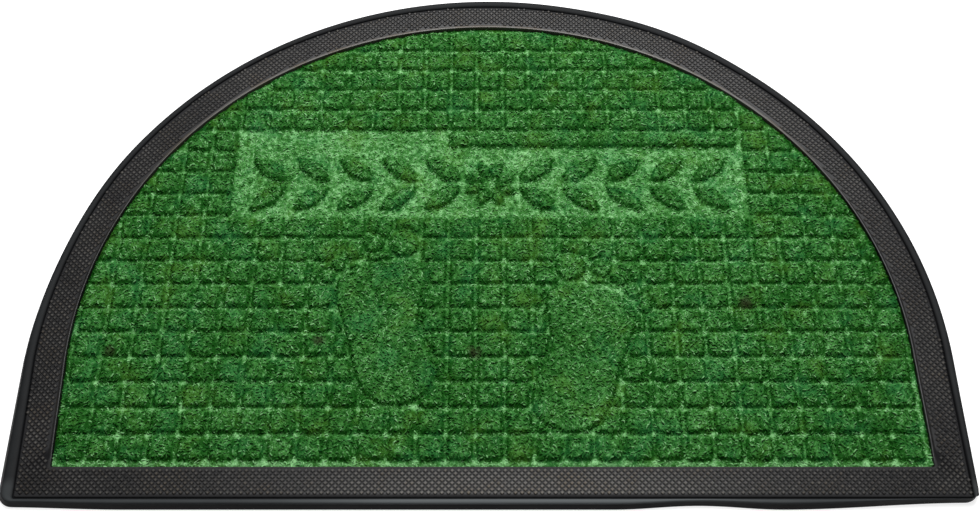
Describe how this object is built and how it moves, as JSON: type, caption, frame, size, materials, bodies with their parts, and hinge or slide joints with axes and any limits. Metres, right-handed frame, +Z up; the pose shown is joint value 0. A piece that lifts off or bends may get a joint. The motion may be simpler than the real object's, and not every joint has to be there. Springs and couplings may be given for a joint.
{
  "type": "half round doormat",
  "caption": "Half round doormat: a moulded rubber base with a raised textured border round a pressed pile inlay that scrapes and dries shoes.",
  "frame": {"origin": "under the middle of the mat's box, on the floor", "axes": "+X along the straight front edge, +Y from the straight edge to the round edge, +Z up out of the pile"},
  "size_m": [0.6, 0.4, 0.007],
  "materials": {
    "black_rubber": "matte moulded rubber, finely knurled band",
    "green_pile": "needle-punched curly pile, pressed lighter in the grooves"
  },
  "bodies": {
    "root": {"rubber_base": "black_rubber", "pile_inlay": "green_pile"}
  },
  "joints": []
}
